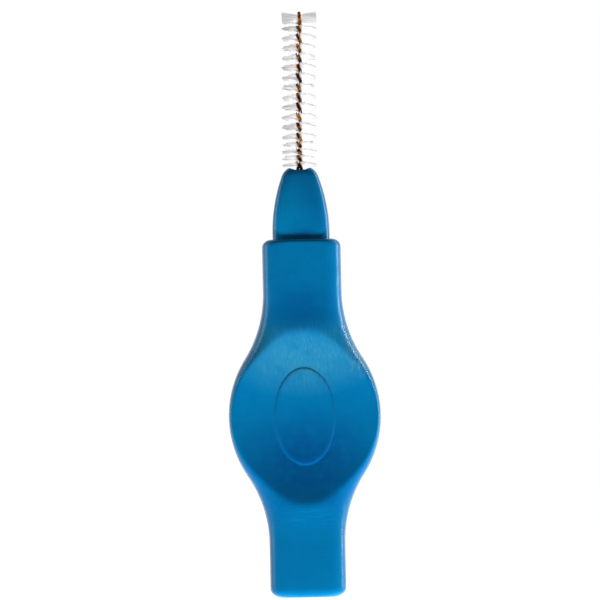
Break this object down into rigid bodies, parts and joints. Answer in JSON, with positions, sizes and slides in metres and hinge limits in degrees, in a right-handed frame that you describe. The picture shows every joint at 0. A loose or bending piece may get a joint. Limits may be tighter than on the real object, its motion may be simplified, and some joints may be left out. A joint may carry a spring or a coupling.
{
  "type": "interdental brush",
  "caption": "Interdental brush with a twisted folded wire stem and fine filaments, a tapered nose, and a flat soft grip that swells to a round dished thumb pad.",
  "frame": {"origin": "centre of the grip's butt end", "axes": "+Z along the stem towards the brush's tip, -Y out of the front of the grip with the raised oval, X across the grip's width"},
  "size_m": [0.016, 0.0052, 0.0615],
  "materials": {
    "grip": "satin blue soft thermoplastic elastomer",
    "core": "satin blue stiff plastic",
    "wire": "steel wire with a glossy brown coat",
    "filament": "pale translucent nylon"
  },
  "bodies": {
    "root": {"grip": "grip", "core": "core", "stem_wire": "wire", "bristles_base": "filament", "bristles_lower": "filament", "bristles_upper": "filament", "bristles_tip": "filament"}
  },
  "joints": []
}
